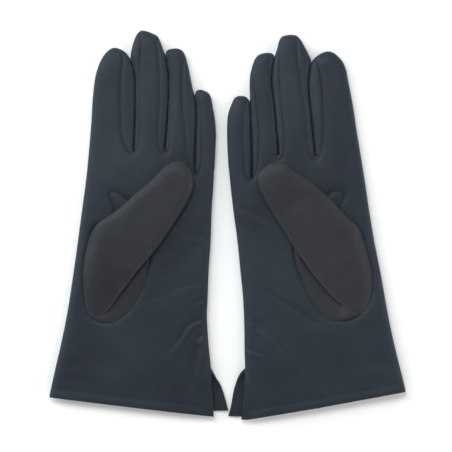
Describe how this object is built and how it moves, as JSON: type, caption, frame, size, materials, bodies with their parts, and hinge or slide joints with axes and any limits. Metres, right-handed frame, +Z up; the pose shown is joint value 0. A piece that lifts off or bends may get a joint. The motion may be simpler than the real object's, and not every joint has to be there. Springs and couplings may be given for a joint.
{
  "type": "pair of leather dress gloves",
  "caption": "Pair of slender unpadded leather gloves lying palm up, thumbs folded over the palms, with long flared cuffs that have a side vent.",
  "frame": {"origin": "centre of the pair's box, on the surface the gloves lie on", "axes": "+X to the wearer's right glove as seen from above, +Y from the cuffs to the fingertips, +Z up off the surface, out of the palms"},
  "size_m": [0.25, 0.2726, 0.0169],
  "materials": {
    "leather": "smooth fine-grained leather with a soft sheen, near-black blue",
    "lining": "fine smooth woven lining",
    "thread": "matt twisted sewing thread"
  },
  "bodies": {
    "left_hand": {"left_trank_palm": "leather", "left_trank_back": "leather", "left_fourchette_roots": "leather", "left_thumb_quirk": "leather", "left_thumb_base": "leather", "left_cuff_hem": "leather", "left_hand_lining": "lining", "left_side_seam_thread": "thread", "left_hem_thread": "thread", "left_thumb_seam_thread": "thread", "left_points_thread": "thread"},
    "left_index": {"left_index_stall": "leather", "left_index_fourchette": "leather", "left_index_lining": "lining", "left_index_thread": "thread"},
    "left_middle": {"left_middle_stall": "leather", "left_middle_fourchettes": "leather", "left_middle_lining": "lining", "left_middle_thread": "thread"},
    "left_ring": {"left_ring_stall": "leather", "left_ring_fourchettes": "leather", "left_ring_lining": "lining", "left_ring_thread": "thread"},
    "left_little": {"left_little_stall": "leather", "left_little_fourchette": "leather", "left_little_lining": "lining", "left_little_thread": "thread"},
    "left_thumb": {"left_thumb_stall": "leather", "left_thumb_lining": "lining"},
    "right_hand": {"right_trank_palm": "leather", "right_trank_back": "leather", "right_fourchette_roots": "leather", "right_thumb_quirk": "leather", "right_thumb_base": "leather", "right_cuff_hem": "leather", "right_hand_lining": "lining", "right_side_seam_thread": "thread", "right_hem_thread": "thread", "right_thumb_seam_thread": "thread", "right_points_thread": "thread"},
    "right_index": {"right_index_stall": "leather", "right_index_fourchette": "leather", "right_index_lining": "lining", "right_index_thread": "thread"},
    "right_middle": {"right_middle_stall": "leather", "right_middle_fourchettes": "leather", "right_middle_lining": "lining", "right_middle_thread": "thread"},
    "right_ring": {"right_ring_stall": "leather", "right_ring_fourchettes": "leather", "right_ring_lining": "lining", "right_ring_thread": "thread"},
    "right_little": {"right_little_stall": "leather", "right_little_fourchette": "leather", "right_little_lining": "lining", "right_little_thread": "thread"},
    "right_thumb": {"right_thumb_stall": "leather", "right_thumb_lining": "lining"}
  },
  "joints": [
    {"name": "gloves_apart", "type": "slide", "parent": "left_hand", "child": "right_hand", "axis": [1, 0, 0], "range_m": [0, 0.15]},
    {"name": "left_index_bend", "type": "hinge", "parent": "left_hand", "child": "left_index", "pos_m": [-0.0812, 0.053, 0.009], "axis": [1, 0, 0], "range_deg": [0, 90]},
    {"name": "left_middle_bend", "type": "hinge", "parent": "left_hand", "child": "left_middle", "pos_m": [-0.0544, 0.053, 0.009], "axis": [1, 0, 0], "range_deg": [0, 90]},
    {"name": "left_ring_bend", "type": "hinge", "parent": "left_hand", "child": "left_ring", "pos_m": [-0.0333, 0.053, 0.009], "axis": [1, 0, 0], "range_deg": [0, 90]},
    {"name": "left_little_bend", "type": "hinge", "parent": "left_hand", "child": "left_little", "pos_m": [-0.0157, 0.037, 0.009], "axis": [1, 0, 0], "range_deg": [0, 90]},
    {"name": "left_thumb_lift", "type": "hinge", "parent": "left_hand", "child": "left_thumb", "pos_m": [-0.0642, -0.012, 0.0169], "axis": [0.8572, -0.515, 0], "range_deg": [0, 90]},
    {"name": "right_index_bend", "type": "hinge", "parent": "right_hand", "child": "right_index", "pos_m": [0.0775, 0.05, 0.009], "axis": [1, 0, 0], "range_deg": [0, 90]},
    {"name": "right_middle_bend", "type": "hinge", "parent": "right_hand", "child": "right_middle", "pos_m": [0.0487, 0.05, 0.009], "axis": [1, 0, 0], "range_deg": [0, 90]},
    {"name": "right_ring_bend", "type": "hinge", "parent": "right_hand", "child": "right_ring", "pos_m": [0.0266, 0.05, 0.009], "axis": [1, 0, 0], "range_deg": [0, 90]},
    {"name": "right_little_bend", "type": "hinge", "parent": "right_hand", "child": "right_little", "pos_m": [0.0093, 0.034, 0.009], "axis": [1, 0, 0], "range_deg": [0, 90]},
    {"name": "right_thumb_lift", "type": "hinge", "parent": "right_hand", "child": "right_thumb", "pos_m": [0.0642, -0.012, 0.0169], "axis": [0.8572, 0.515, 0], "range_deg": [0, 90]}
  ]
}
